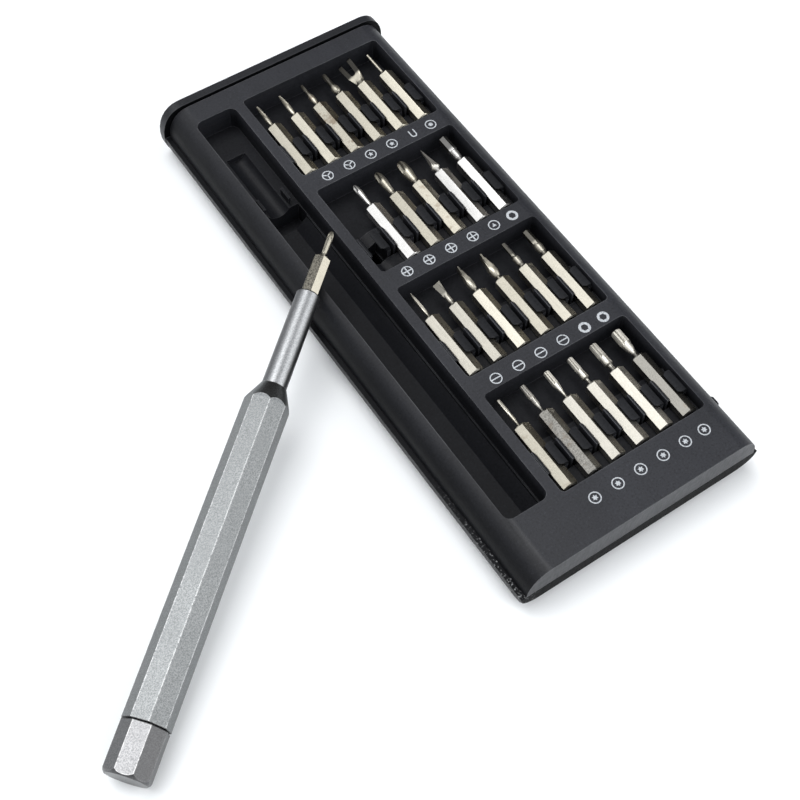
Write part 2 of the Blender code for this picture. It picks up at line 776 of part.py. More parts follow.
def build_bearing(mat, axis):
    build_ring("bearing_inner_ring", SPINDLE_R + GAP, INNER_RACE_R, RACE, mat, axis)
    build_ring("bearing_outer_ring", OUTER_RACE_R, BORE_R - GAP, RACE, mat, axis)
    build_ball_ring(mat, axis)
    head = RACE[1] + GAP
    spindle = turned("spindle_screw", [
        (SPINDLE_HOLE_END + GAP, SPINDLE_R),
        (head, SPINDLE_R),
        (head + 0.05, 2.2),
        (head + 1.4, 2.2),
        (head + 1.7, 1.8),
    ], mat, 24)
    spindle.parent = axis


def build_magnet(mat, axis):
    front = BIT_REAR - 2 * GAP
    span = (front - MAGNET_LEN, front)
    magnet = turned("socket_magnet", [(s, MAGNET_R) for s in span], mat, 24)
    magnet.parent = axis


def driver_frame():
    """An empty at the end cap's rear face: +Z along the driver, +X on its upper side."""
    heading = radians(DRIVER_HEADING)
    tilt = radians(DRIVER_TILT)
    along = Vector((cos(tilt) * sin(heading), cos(tilt) * cos(heading), sin(tilt)))
    side = along.cross(Vector((0, 0, 1))).normalized()
    upper = side.cross(along)
    axis = bpy.data.objects.new("driver_axis", None)
    bpy.context.collection.objects.link(axis)
    turn = Matrix((upper, side, along)).transposed().to_4x4()
    axis.matrix_world = Matrix.Translation(Vector(DRIVER_FOOT) * MM) @ turn
    return axis


def main():
    clear_scene()
    tray_plastic = material("tray_plastic", (0.018, 0.019, 0.021), 0.5, 0.0)
    base_plastic = material("base_plastic", (0.03, 0.032, 0.034), 0.42, 0.0)
    anodised = material("anodised_aluminium", (0.36, 0.37, 0.38), 0.38, 1.0)
    cap_metal = material("cap_aluminium", (0.33, 0.33, 0.34), 0.4, 1.0)
    bit_steel = material("bit_steel", (0.72, 0.7, 0.64), 0.25, 1.0)
    bearing_steel = material("bearing_steel", (0.6, 0.6, 0.6), 0.2, 1.0)
    magnet_plate = material("magnet_plating", (0.7, 0.7, 0.7), 0.2, 1.0)

    build_bit_tray(tray_plastic)
    build_tray_base(base_plastic)
    axis = driver_frame()
    build_barrel(anodised, axis)
    build_end_cap(cap_metal, axis)
    build_bearing(bearing_steel, axis)
    build_magnet(magnet_plate, axis)
    build_bits(bit_steel, axis)


main()
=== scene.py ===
import json
from math import cos, pi, radians, sin

import bmesh
import bpy
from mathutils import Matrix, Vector


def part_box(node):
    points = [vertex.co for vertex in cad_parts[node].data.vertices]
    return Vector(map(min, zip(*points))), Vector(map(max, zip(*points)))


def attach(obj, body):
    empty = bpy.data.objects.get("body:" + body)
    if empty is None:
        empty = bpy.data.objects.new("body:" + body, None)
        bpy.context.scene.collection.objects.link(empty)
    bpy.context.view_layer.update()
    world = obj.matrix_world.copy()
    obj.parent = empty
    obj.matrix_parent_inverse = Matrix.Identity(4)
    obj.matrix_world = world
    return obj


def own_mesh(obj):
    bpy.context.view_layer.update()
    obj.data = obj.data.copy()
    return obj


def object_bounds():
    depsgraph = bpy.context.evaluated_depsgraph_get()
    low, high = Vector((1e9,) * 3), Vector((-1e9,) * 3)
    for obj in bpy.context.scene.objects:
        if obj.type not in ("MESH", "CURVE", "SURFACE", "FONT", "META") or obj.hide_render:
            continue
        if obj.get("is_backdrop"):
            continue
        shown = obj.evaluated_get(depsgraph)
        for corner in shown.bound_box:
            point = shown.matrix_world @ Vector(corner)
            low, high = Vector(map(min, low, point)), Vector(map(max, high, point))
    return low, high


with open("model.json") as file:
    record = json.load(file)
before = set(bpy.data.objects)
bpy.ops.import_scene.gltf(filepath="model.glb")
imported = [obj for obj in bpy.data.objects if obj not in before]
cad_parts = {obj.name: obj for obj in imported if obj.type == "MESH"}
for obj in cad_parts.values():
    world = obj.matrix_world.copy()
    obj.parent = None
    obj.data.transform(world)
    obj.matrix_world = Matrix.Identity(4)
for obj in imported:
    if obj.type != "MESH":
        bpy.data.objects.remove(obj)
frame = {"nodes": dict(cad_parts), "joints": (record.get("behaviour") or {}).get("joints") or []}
cad_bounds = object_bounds()

# The looks of a precision screwdriver set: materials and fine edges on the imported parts, the hooks
# of the clip arms and the printed marks. Lengths written with MM are millimetres.
MM = 0.001

NODES = frame["nodes"]
JOINTS = {joint["name"]: joint for joint in frame["joints"]}
TRAY_LOW, TRAY_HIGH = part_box("bit_tray")
BASE_LOW, BASE_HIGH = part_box("tray_base")
TOP_Z = TRAY_HIGH.z

ROWS = (
    (
        "bit_three_wing_1", "bit_three_wing_2", "bit_five_lobe_1", "bit_five_lobe_2",
        "bit_fork", "bit_pin",
    ),
    (None, "bit_cross_2", "bit_cross_3", "bit_cross_4", "bit_triangle", "bit_hex_3"),
    ("bit_slot_1", "bit_slot_2", "bit_slot_3", "bit_slot_4", "bit_hex_1", "bit_hex_2"),
    ("bit_star_1", "bit_star_2", "bit_star_3", "bit_star_4", "bit_star_5", "bit_star_6"),
)
DRIVER_BIT = "bit_cross_1"
DRIVER_BIT_FACET = (-0.21, 0.10, 0.973)     # where the bit's darkened facet faces
HEX_LEN = 19.8 * MM                 # a bit's hexagonal part
CAP_SEAM = 11.9 * MM                # middle of the end cap's gap, from the driver's rear end
CONE_SPAN = (91.0 * MM, 96.2 * MM)  # the cone in front of the grip, from the driver's rear end

# Shade factors on the moulded plastic's color, where 1 is its plain color; the deep, left side and
# shell end ones are painted shade
LEFT_SIDE_X = TRAY_LOW.x + 4.6 * MM     # where the tray's rounded left side begins
LEFT_SIDE_SHADE = 0.6
SHELL_SHADE = 0.4                       # the lower shell, beside its flange
SHELL_END_SHADE = 0.2                   # its rounded near end
DEEP_SHADE = 0.42                       # down in the pockets
TRAY_SPECULAR = 0.32
BASE_SPECULAR = 0.24

# Light and camera
CAMERA_PLACE = (-0.1363, -0.1690, 0.3062)
CAMERA_TURN = (31.19, -1.50, -34.11)    # degrees
CAMERA_LENS = 64.18
FLOOR_HALF = 3.0
FLOOR_GLOW = 0.025
LIGHT = 1.35                        # strength of the whole surrounding light
DARK_SIDE = (0.65, 0.60, 0.47)      # where the tent is open to a dark room
DARK_EDGE = (0.70, 0.86)            # cosines of the opening's outer and inner edge
SOFTBOXES = (                       # direction, cosines of its edges, brightness
    ((-0.14, 0.27, 0.95), 0.90, 0.975, 3.6),
    ((0.70, -0.50, 0.48), 0.85, 0.95, 1.45),
    ((-0.52, 0.46, 0.72), 0.86, 0.96, 0.25),
)


# Node helpers


def new_material(name):
    mat = bpy.data.materials.new(name)
    mat.use_nodes = True
    return mat, mat.node_tree, mat.node_tree.nodes["Principled BSDF"]


def put(tree, socket, value):
    """Link a socket to another one, or give it a fixed value."""
    if isinstance(value, bpy.types.NodeSocket):
        tree.links.new(value, socket)
    else:
        socket.default_value = value


def add(tree, kind, inputs=None, **settings):
    node = tree.nodes.new(kind)
    for key, value in settings.items():
        setattr(node, key, value)
    for key, value in (inputs or {}).items():
        put(tree, node.inputs[key], value)
    return node


def math_node(tree, operation, a, b=0.0):
    return add(tree, "ShaderNodeMath", {0: a, 1: b}, operation=operation).outputs[0]


def dot_product(tree, a, b):
    node = add(tree, "ShaderNodeVectorMath", {0: a, 1: b}, operation="DOT_PRODUCT")
    return node.outputs["Value"]


def noise(tree, coords, scale, detail=2.0, roughness=0.5):
    inputs = {"Vector": coords, "Scale": scale, "Detail": detail, "Roughness": roughness}
    return add(tree, "ShaderNodeTexNoise", inputs).outputs["Fac"]


def ramp(tree, value, low, high, to_low=0.0, to_high=1.0):
    """A smooth step of value between low and high."""
    inputs = {"Value": value, 1: low, 2: high, 3: to_low, 4: to_high}
    node = add(tree, "ShaderNodeMapRange", inputs, interpolation_type="SMOOTHSTEP")
    return node.outputs[0]


def mix_color(tree, factor, a, b):
    node = add(tree, "ShaderNodeMix", data_type="RGBA")
    for socket, value in ((node.inputs[0], factor), (node.inputs[6], a), (node.inputs[7], b)):
        put(tree, socket, value)
    return node.outputs[2]


def mix_value(tree, factor, a, b):
    node = add(tree, "ShaderNodeMix", {0: factor, 2: a, 3: b}, data_type="FLOAT")
    return node.outputs[0]


def rgb(r, g, b):
    return (r, g, b, 1.0)


def object_coords(tree):
    return add(tree, "ShaderNodeTexCoord").outputs["Object"]


def stretched(tree, coords, scale):
    node = add(tree, "ShaderNodeMapping", {"Vector": coords, "Scale": scale})
    return node.outputs[0]


def edge_mask(tree, radius, low, high):
    """1 along an object's sharp edges and 0 on its faces."""
    rounded = add(tree, "ShaderNodeBevel", {"Radius": radius}, samples=6).outputs[0]
    plain = add(tree, "ShaderNodeNewGeometry").outputs["Normal"]
    same = dot_product(tree, rounded, plain)
    return ramp(tree, math_node(tree, "SUBTRACT", 1.0, same), low, high)


def bump(tree, height, strength, distance):
    inputs = {"Height": height, "Strength": strength, "Distance": distance}
    return add(tree, "ShaderNodeBump", inputs).outputs[0]


def along_axis(tree, start, axis):
    """Distance of the shaded point from start, measured along the axis."""
    inputs = {0: object_coords(tree), 1: start}
    offset = add(tree, "ShaderNodeVectorMath", inputs, operation="SUBTRACT").outputs[0]
    return dot_product(tree, offset, axis)


def faces_towards(tree, direction, low, high):
    """1 on faces whose normal is close to the direction, 0 on the others."""
    normal = add(tree, "ShaderNodeNewGeometry").outputs["True Normal"]
    return ramp(tree, dot_product(tree, normal, Vector(direction).normalized()), low, high)


def separate(tree, coords):
    return add(tree, "ShaderNodeSeparateXYZ", {0: coords}).outputs


def base_color(shader):
    """What the shader's base color is linked to so far."""
    return shader.inputs["Base Color"].links[0].from_socket


# Materials


BLACK = rgb(0.0, 0.0, 0.0)
# Also the painted shade on the bits' necks and in the hollows of their tips.
TARNISH_AND_SHADE = rgb(0.024, 0.023, 0.021)    # the bits' darkest tarnish


def plastic(name, color, edge_color, roughness, specular):
    """Fine-grained moulded plastic with polished edges, paler as wear and painted highlight, faint
    blotches and rubbed patches.
    """
    mat, tree, shader = new_material(name)
    coords = object_coords(tree)
    grain = noise(tree, coords, 2600, 3.0)
    blotch = noise(tree, coords, 45, 4.0, 0.6)
    streak = noise(tree, stretched(tree, coords, (1500, 90, 400)), 1.0, 3.0)
    # The paler rims along sharp edges are rubbed wear and a painted edge highlight at once.
    rims = edge_mask(tree, 0.45 * MM, 0.02, 0.17)
    edges = math_node(tree, "MULTIPLY", rims, ramp(tree, blotch, 0.3, 0.62))
    speck = noise(tree, coords, 1700, 3.0, 0.7)
    tone = mix_color(tree, ramp(tree, blotch, 0.3, 0.75), rgb(*color), rgb(*(c * 1.35 for c in color)))
    dark = rgb(*(c * 0.55 for c in color))
    tone = mix_color(tree, ramp(tree, speck, 0.3, 0.5, 0.8, 0.0), tone, dark)
    pale = rgb(*(c * 2.2 for c in color))
    tone = mix_color(tree, ramp(tree, speck, 0.56, 0.74, 0.0, 0.7), tone, pale)
    put(tree, shader.inputs["Base Color"], mix_color(tree, edges, tone, rgb(*edge_color)))
    rough = math_node(tree, "ADD", roughness - 0.1, math_node(tree, "MULTIPLY", streak, 0.2))
    rough = math_node(tree, "SUBTRACT", rough, math_node(tree, "MULTIPLY", edges, 0.12))
    put(tree, shader.inputs["Roughness"], rough)
    shader.inputs["Specular IOR Level"].default_value = specular
    height = math_node(tree, "ADD", grain, math_node(tree, "MULTIPLY", streak, 0.3))
    put(tree, shader.inputs["Normal"], bump(tree, height, 0.5, 0.04 * MM))
    return mat


def tray_plastic():
    """The upper moulding's plastic, with painted shade down in its pockets and its rounded sides, more
    on its left side, and painted light on its near end face.
    """
    color, worn = (0.0172, 0.0182, 0.0222), (0.085, 0.088, 0.095)
    mat = plastic("tray_plastic_grained", color, worn, 0.46, TRAY_SPECULAR)
    tree = mat.node_tree
    shader = tree.nodes["Principled BSDF"]
    coords = object_coords(tree)
    x, _y, z = separate(tree, coords)
    # Painted shade: darker down into the pockets and down the rounded sides, darker still on the
    # rounded left side, in color and specular level.
    shade = ramp(tree, z, TOP_Z - 4.0 * MM, TOP_Z - 0.5 * MM, DEEP_SHADE, 1.0)
    left_side = ramp(tree, x, LEFT_SIDE_X, LEFT_SIDE_X + 2.0 * MM, LEFT_SIDE_SHADE, 1.0)
    shade = math_node(tree, "MULTIPLY", shade, left_side)
    # On the near end face the painted shade gives way to painted light, up to 1.35 times the plain
    # color, in scuffed streaks.
    near_end = faces_towards(tree, (0.0, -1.0, 0.0), 0.8, 0.95)
    scuffs = noise(tree, stretched(tree, coords, (90, 90, 1300)), 1.0, 3.0)
    shade = mix_value(tree, near_end, shade, ramp(tree, scuffs, 0.3, 0.7, 1.0, 1.35))
    put(tree, shader.inputs["Base Color"], mix_color(tree, shade, BLACK, base_color(shader)))
    specular = math_node(tree, "MULTIPLY", shade, TRAY_SPECULAR)
    put(tree, shader.inputs["Specular IOR Level"], specular)
    return mat


def clip_plastic():
    # The hooks' plastic is the tray's plastic made darker, as painted shade of the pockets the hooks
    # stand in.
    color, worn = (0.0105, 0.0112, 0.013), (0.02, 0.021, 0.024)
    return plastic("clip_plastic_grained", color, worn, 0.58, 0.14)


def base_plastic():
    """The lower shell's plastic, with bright speckles along its near left corner, darker beside its
    flange than on it, and painted shade on its rounded near end.
    """
    color, worn = (0.0125, 0.0132, 0.0158), (0.06, 0.062, 0.067)
    mat = plastic("base_plastic_rubbed", color, worn, 0.42, BASE_SPECULAR)
    tree = mat.node_tree
    shader = tree.nodes["Principled BSDF"]
    coords = object_coords(tree)
    x, y, _z = separate(tree, coords)
    near_left = math_node(
        tree, "MULTIPLY",
        ramp(tree, y, BASE_LOW.y + 42 * MM, BASE_LOW.y + 4 * MM),
        ramp(tree, x, BASE_LOW.x + 6 * MM, BASE_LOW.x + 1 * MM),
    )
    flecks = ramp(tree, noise(tree, coords, 1500, 4.0, 0.7), 0.56, 0.64)
    mask = math_node(tree, "MULTIPLY", near_left, flecks)
    flange_y = BASE_HIGH.y - 3.0 * MM
    shade = ramp(tree, y, flange_y, flange_y + 0.5 * MM, SHELL_SHADE, 1.0)
    # Painted shade on the shell's rounded near end, in color and specular level.
    near_end = faces_towards(tree, (0.0, -1.0, -0.25), 0.6, 0.85)
    near_shade = ramp(tree, near_end, 0.0, 1.0, 1.0, SHELL_END_SHADE)
    shade = math_node(tree, "MULTIPLY", shade, near_shade)
    shaded = mix_color(tree, shade, BLACK, base_color(shader))
    put(tree, shader.inputs["Base Color"], mix_color(tree, mask, shaded, rgb(0.25, 0.255, 0.26)))
    specular = math_node(tree, "MULTIPLY", shade, BASE_SPECULAR)
    put(tree, shader.inputs["Specular IOR Level"], specular)
    return mat


def blasted_metal(name, color, worn, roughness):
    """Bead-blasted anodised metal, rubbed bright along its edges."""
    mat, tree, shader = new_material(name)
    coords = object_coords(tree)
    grit = noise(tree, coords, 3200, 3.0, 0.6)
    cloud = noise(tree, coords, 120, 3.0)
    fine = noise(tree, coords, 1500, 2.0)
    rim = edge_mask(tree, 0.5 * MM, 0.015, 0.06)
    edges = math_node(tree, "MULTIPLY", rim, ramp(tree, fine, 0.3, 0.55))
    dark = rgb(*(c * 0.72 for c in color))
    light = rgb(*(c * 1.3 for c in color))
    tone = mix_color(tree, ramp(tree, grit, 0.32, 0.68), dark, light)
    tone = mix_color(tree, ramp(tree, cloud, 0.35, 0.75, 0.0, 0.35), tone, light)
    put(tree, shader.inputs["Base Color"], mix_color(tree, edges, tone, rgb(*worn)))
    shader.inputs["Metallic"].default_value = 1.0
    rough = math_node(tree, "ADD", roughness - 0.08, math_node(tree, "MULTIPLY", cloud, 0.16))
    put(tree, shader.inputs["Roughness"], rough)
    put(tree, shader.inputs["Normal"], bump(tree, grit, 0.55, 0.03 * MM))
    return mat


def barrel_metal(axis):
    """The barrel's metal: paler on the turned shaft, with painted shade along the shaft's sides,
    darker on the cone in front of the grip.
    """
    mat = blasted_metal("barrel_blasted", (0.162, 0.169, 0.171), (0.58, 0.585, 0.59), 0.40)
    tree = mat.node_tree
    shader = tree.nodes["Principled BSDF"]
    foot = Vector(JOINTS["cap_spin"]["pos_m"])
    along = along_axis(tree, foot, axis)
    cone = math_node(
        tree, "MULTIPLY",
        ramp(tree, along, CONE_SPAN[0], CONE_SPAN[0] + 0.3 * MM),
        ramp(tree, along, CONE_SPAN[1] + 0.3 * MM, CONE_SPAN[1]),
    )
    shaft = ramp(tree, along, CONE_SPAN[1], CONE_SPAN[1] + 0.4 * MM)
    cone = math_node(tree, "MULTIPLY", cone, 0.2)
    color = mix_color(tree, cone, base_color(shader), rgb(0.028, 0.034, 0.042))
    grit = ramp(tree, noise(tree, object_coords(tree), 3000, 3.0, 0.6), 0.35, 0.65, 0.3, 0.65)
    pale = math_node(tree, "MULTIPLY", shaft, grit)
    color = mix_color(tree, pale, color, rgb(0.5, 0.51, 0.525))
    # Painted shade along the shaft's sides, the darker the more they turn away from the view.
    rim = add(tree, "ShaderNodeLayerWeight", {"Blend": 0.5}).outputs["Facing"]
    rim = math_node(tree, "MULTIPLY", shaft, ramp(tree, rim, 0.12, 0.55, 0.0, 0.78))
    color = mix_color(tree, rim, color, rgb(0.06, 0.062, 0.066))
    put(tree, shader.inputs["Base Color"], seam_shade_and_grime(tree, along, color))
    return mat


def seam_shade_and_grime(tree, along, color):
    """The color, darkened on both sides of the gap between the barrel and its end cap: painted shade
    of the gap and grime in it.
    """
    distance = math_node(tree, "ABSOLUTE", math_node(tree, "SUBTRACT", along, CAP_SEAM))
    gap_shade_and_grime = ramp(tree, distance, 0.26 * MM, 0.4 * MM, 0.9, 0.0)
    return mix_color(tree, gap_shade_and_grime, color, rgb(0.02, 0.021, 0.022))


def cap_metal(axis):
    """The end cap's metal, with painted shade on every face but the uppermost, less on the one left of
    it.
    """
    mat = blasted_metal("cap_blasted", (0.168, 0.169, 0.172), (0.46, 0.46, 0.46), 0.34)
    tree = mat.node_tree
    shader = tree.nodes["Principled BSDF"]
    up = Vector((0.0, 0.0, 1.0))
    # Painted shade on the faces turned from the top: none on the uppermost face, some on the one left
    # of it, most on the others.
    upper = faces_towards(tree, up, 0.78, 0.97)
    left = faces_towards(tree, up + up.cross(axis), 0.85, 0.97)
    dark = mix_value(tree, left, ramp(tree, upper, 0.0, 1.0, 0.56, 0.0), 0.34)
    color = mix_color(tree, dark, base_color(shader), rgb(0.05, 0.05, 0.052))
    along = along_axis(tree, Vector(JOINTS["cap_spin"]["pos_m"]), axis)
    put(tree, shader.inputs["Base Color"], seam_shade_and_grime(tree, along, color))
    return mat


def bit_metal(name, seed, look, start, axis):
    """Satin nickel, warm in tone, with brown stains, fine scratches, a tip of another shade and
    painted shade on the neck and in the tip's hollows.

    start is the rear end's centre and axis points from there to the tip. look gives the tone, how
    warm it is, how stained the body is, how dark the tip is (below 0, how pale) and from where on.
    """
    tone, warmth, stain, tip_dark, tip_from = look
    mat, tree, shader = new_material(name)
    coords = object_coords(tree)
    inputs = {0: coords, 1: (seed * 0.37, seed * 0.11, 0)}
    shifted = add(tree, "ShaderNodeVectorMath", inputs).outputs[0]
    grit = noise(tree, shifted, 2300, 3.0, 0.6)
    spots = noise(tree, shifted, 420, 4.0, 0.65)
    lines = noise(tree, stretched(tree, shifted, (2400, 160, 2400)), 1.0, 2.0)
    along = along_axis(tree, start, axis)
    tone = tone / LIGHT
    base = (tone, tone * (1 - 0.055 * warmth), tone * (1 - 0.21 * warmth))
    nickel = rgb(*(c * 0.95 for c in base))
    pale = rgb(*(min(1.0, c * 1.06) for c in base))
    brown = rgb(0.2, 0.155, 0.11)
    color = mix_color(tree, ramp(tree, grit, 0.3, 0.7), nickel, pale)
    dull = rgb(*(c * 0.78 for c in base))
    color = mix_color(tree, ramp(tree, lines, 0.55, 0.7, 0.0, 0.3), color, dull)
    stained = ramp(tree, spots, 0.66 - 0.26 * stain, 0.74 - 0.14 * stain, 0.0, 0.08 + 0.85 * stain)
    color = mix_color(tree, stained, color, brown)
    first = HEX_LEN + tip_from * MM
    tip = ramp(tree, along, first, first + 1.2 * MM, 0.0, abs(tip_dark))
    tint = TARNISH_AND_SHADE if tip_dark > 0 else rgb(0.85, 0.82, 0.74)
    # Painted shade on the narrow neck just in front of the hexagon.
    root = math_node(
        tree, "MULTIPLY",
        ramp(tree, along, HEX_LEN, HEX_LEN + 0.3 * MM),
        ramp(tree, along, HEX_LEN + 1.5 * MM, HEX_LEN + 1.1 * MM),
    )
    color = mix_color(tree, math_node(tree, "MULTIPLY", root, 0.6), color, TARNISH_AND_SHADE)
    color = mix_color(tree, tip, color, tint)
    # Painted shade in the hollows and flutes of the tip, found with an ambient occlusion node.
    reach = {"Distance": 0.5 * MM}
    occlusion = add(tree, "ShaderNodeAmbientOcclusion", reach, samples=8, only_local=True)
    hollow_shade = math_node(
        tree, "MULTIPLY",
        ramp(tree, occlusion.outputs["AO"], 0.55, 0.93, 0.92, 0.0),
        ramp(tree, along, HEX_LEN + 1.6 * MM, HEX_LEN + 2.2 * MM),
    )
    put(tree, shader.inputs["Base Color"], mix_color(tree, hollow_shade, color, TARNISH_AND_SHADE))
    shader.inputs["Metallic"].default_value = 1.0
    rough = math_node(tree, "ADD", 0.2, math_node(tree, "MULTIPLY", spots, 0.16))
    matt = ramp(tree, along, HEX_LEN, HEX_LEN + 0.4 * MM, 0.0, 0.16)
    rough = math_node(tree, "ADD", rough, matt)
    put(tree, shader.inputs["Roughness"], rough)
    put(tree, shader.inputs["Normal"], bump(tree, grit, 0.35, 0.015 * MM))
    return mat


def tint_facet(mat, normal, strength, color):
    """Mix a color, in specks, into the facet of a bit that faces along normal."""
    tree = mat.node_tree
    shader = tree.nodes["Principled BSDF"]
    facing = add(tree, "ShaderNodeNewGeometry").outputs["True Normal"]
    facet = ramp(tree, dot_product(tree, facing, normal), 0.93, 0.975, 0.0, strength)
    specks = ramp(tree, noise(tree, object_coords(tree), 2600, 4.0, 0.7), 0.35, 0.62, 1.0, 0.6)
    mask = math_node(tree, "MULTIPLY", facet, specks)
    put(tree, shader.inputs["Base Color"], mix_color(tree, mask, base_color(shader), color))


def bearing_metal():
    mat, tree, shader = new_material("bearing_steel_ground")
    coords = object_coords(tree)
    rings = noise(tree, coords, 5200, 2.0)
    color = mix_color(tree, rings, rgb(0.4, 0.4, 0.4), rgb(0.54, 0.54, 0.53))
    put(tree, shader.inputs["Base Color"], color)
    shader.inputs["Metallic"].default_value = 1.0
    put(tree, shader.inputs["Roughness"], ramp(tree, rings, 0.2, 0.8, 0.16, 0.3))
    put(tree, shader.inputs["Normal"], bump(tree, rings, 0.1, 0.01 * MM))
    return mat


def magnet_metal():
    mat, tree, shader = new_material("magnet_plating_dull")
    coords = object_coords(tree)
    cloud = noise(tree, coords, 900, 3.0)
    color = mix_color(tree, cloud, rgb(0.44, 0.44, 0.43), rgb(0.6, 0.6, 0.58))
    put(tree, shader.inputs["Base Color"], color)
    shader.inputs["Metallic"].default_value = 1.0
    put(tree, shader.inputs["Roughness"], ramp(tree, cloud, 0.2, 0.8, 0.2, 0.4))
    return mat


def print_ink():
    """White pad print, a little uneven where the plastic's grain shows through."""
    mat, tree, shader = new_material("white_pad_print")
    coords = object_coords(tree)
    thin = noise(tree, coords, 2600, 3.0)
    color = mix_color(tree, ramp(tree, thin, 0.3, 0.6), rgb(0.28, 0.3, 0.325), rgb(0.47, 0.495, 0.52))
    put(tree, shader.inputs["Base Color"], color)
    put(tree, shader.inputs["Roughness"], ramp(tree, thin, 0.2, 0.8, 0.5, 0.65))
    put(tree, shader.inputs["Normal"], bump(tree, thin, 0.3, 0.01 * MM))
    return mat


# Mesh helpers


SMOOTH_ANGLE = 38             # degrees


def mesh_object(name, bm, mat):
    bmesh.ops.recalc_face_normals(bm, faces=bm.faces)
    mesh = bpy.data.meshes.new(name)
    bm.to_mesh(mesh)
    bm.free()
    mesh.materials.append(mat)
    obj = bpy.data.objects.new(name, mesh)
    bpy.context.scene.collection.objects.link(obj)
    return obj


def loft(bm, rings, closed=False):
    """Skin rings of points, all of one length, with end caps or, if closed, back to the first."""
    loops = [[bm.verts.new(point) for point in ring] for ring in rings]
    count = len(loops[0])
    pairs = list(zip(loops, loops[1:]))
    if closed:
        pairs.append((loops[-1], loops[0]))
    for lower, upper in pairs:
        for i in range(count):
            j = (i + 1) % count
            bm.faces.new((lower[i], lower[j], upper[j], upper[i]))
    if not closed:
        bm.faces.new(reversed(loops[0]))
        bm.faces.new(loops[-1])


def clean_edges(obj, width, segments, angle):
    """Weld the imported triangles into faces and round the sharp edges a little."""
    weld = obj.modifiers.new("weld", "WELD")
    weld.merge_threshold = 1e-6
    planar = obj.modifiers.new("planar", "DECIMATE")
    planar.decimate_type = "DISSOLVE"
    planar.angle_limit = radians(0.5)
    edges = obj.modifiers.new("edges", "BEVEL")
    edges.width = width
    edges.segments = segments
    edges.limit_method = "ANGLE"
    edges.angle_limit = radians(angle)
    smooth_shading(obj)
    flat = obj.modifiers.new("flat_faces", "WEIGHTED_NORMAL")
    flat.keep_sharp = True


def smooth_shading(obj):
    """Smooth shading across every edge flatter than SMOOTH_ANGLE."""
    group = bpy.data.node_groups.get("smooth_by_angle") or smooth_group()
    modifier = obj.modifiers.new("smooth", "NODES")
    modifier.node_group = group


def smooth_group():
    tree = bpy.data.node_groups.new("smooth_by_angle", "GeometryNodeTree")
    tree.interface.new_socket("Geometry", in_out="INPUT", socket_type="NodeSocketGeometry")
    tree.interface.new_socket("Geometry", in_out="OUTPUT", socket_type="NodeSocketGeometry")
    source = tree.nodes.new("NodeGroupInput")
    result = tree.nodes.new("NodeGroupOutput")
    faces = add(tree, "GeometryNodeSetShadeSmooth", domain="FACE")
    edges = add(tree, "GeometryNodeSetShadeSmooth", {"Shade Smooth": False}, domain="EDGE")
    turn = add(tree, "GeometryNodeInputMeshEdgeAngle").outputs["Unsigned Angle"]
    inputs = {0: turn, 1: radians(SMOOTH_ANGLE)}
    sharp = add(tree, "FunctionNodeCompare", inputs, data_type="FLOAT", operation="GREATER_THAN")
    tree.links.new(source.outputs[0], faces.inputs["Geometry"])
    tree.links.new(faces.outputs[0], edges.inputs["Geometry"])
    tree.links.new(sharp.outputs[0], edges.inputs["Selection"])
    tree.links.new(edges.outputs[0], result.inputs[0])
    return tree


def dress(node, mat, width, segments=2, angle=32):
    """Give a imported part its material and, where it turns by more than the angle, fine edges."""
    obj = NODES[node]
    obj.data.materials.clear()
    obj.data.materials.append(mat)
    clean_edges(obj, width, segments, angle)


# Clip hooks and marks


def bit_centre(name):
    """Where a bit in the tray has its axis, and its rear end."""
    low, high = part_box(name)
    return (low.x + high.x) / 2, low.y, low.z + (high.z - low.z) / 2


BIT_PITCH = bit_centre(ROWS[0][1])[0] - bit_centre(ROWS[0][0])[0]
FIRST_X, _first_y, BIT_AXIS_Z = bit_centre(ROWS[0][0])


def row_rear(row):
    name = next(name for name in ROWS[row] if name)
    return bit_centre(name)[1]


# A hook's section, across the bit and above its axis in millimetres, from its arm's outer side
# round its free tip to the arm's inner side
RIGHT_HOOK = (
    (3.28, 0.5), (3.28, 1.6), (3.05, 2.1), (2.6, 2.35), (1.3, 2.42), (0.85, 2.36),
    (0.7, 2.2), (0.95, 2.05), (2.1, 1.42), (2.42, 1.1), (2.42, 0.5),
)
LEFT_HOOK = (
    (-2.88, 1.2), (-2.88, 1.7), (-2.76, 1.88), (-2.52, 1.95), (-2.24, 1.91), (-2.06, 1.76),
    (-2.06, 1.6), (-2.16, 1.52), (-2.3, 1.46), (-2.42, 1.35), (-2.42, 1.2),
)
RIGHT_PULL = 0.9              # how far a hook's tip draws back towards its arm at its two ends
LEFT_PULL = -0.2
HOOK_SPAN = (5.45, 11.95)     # from the bit's rear end
HOOK_END = 0.55               # length of the rounding at both ends of a hook


def hook_ring(section, x, y, pull):
    """The section at one place along the bit, its free tip pulled back towards the arm."""
    root = section[-1][0]
    tip = min((px for px, _pz in section), key=abs)
    ring = []
    for px, pz in section:
        reach = max(0.0, (root - px) / (root - tip))
        ring.append((x + (px + pull * reach) * MM, y, BIT_AXIS_Z + pz * MM))
    return ring


def clip_hook(name, section, x, rear_y, mat):
    """The hook of a clip's arm, which closes over one of the bit's upper facets."""
    first, last = HOOK_SPAN
    most = RIGHT_PULL if section is RIGHT_HOOK else LEFT_PULL
    stations = (
        (first, most), (first + HOOK_END * 0.4, most * 0.4), (first + HOOK_END, 0.0),
        (last - HOOK_END, 0.0), (last - HOOK_END * 0.4, most * 0.4), (last, most),
    )
    bm = bmesh.new()
    loft(bm, [hook_ring(section, x, rear_y + y * MM, pull) for y, pull in stations])
    hook = mesh_object(name, bm, mat)
    smooth_shading(hook)
    return hook


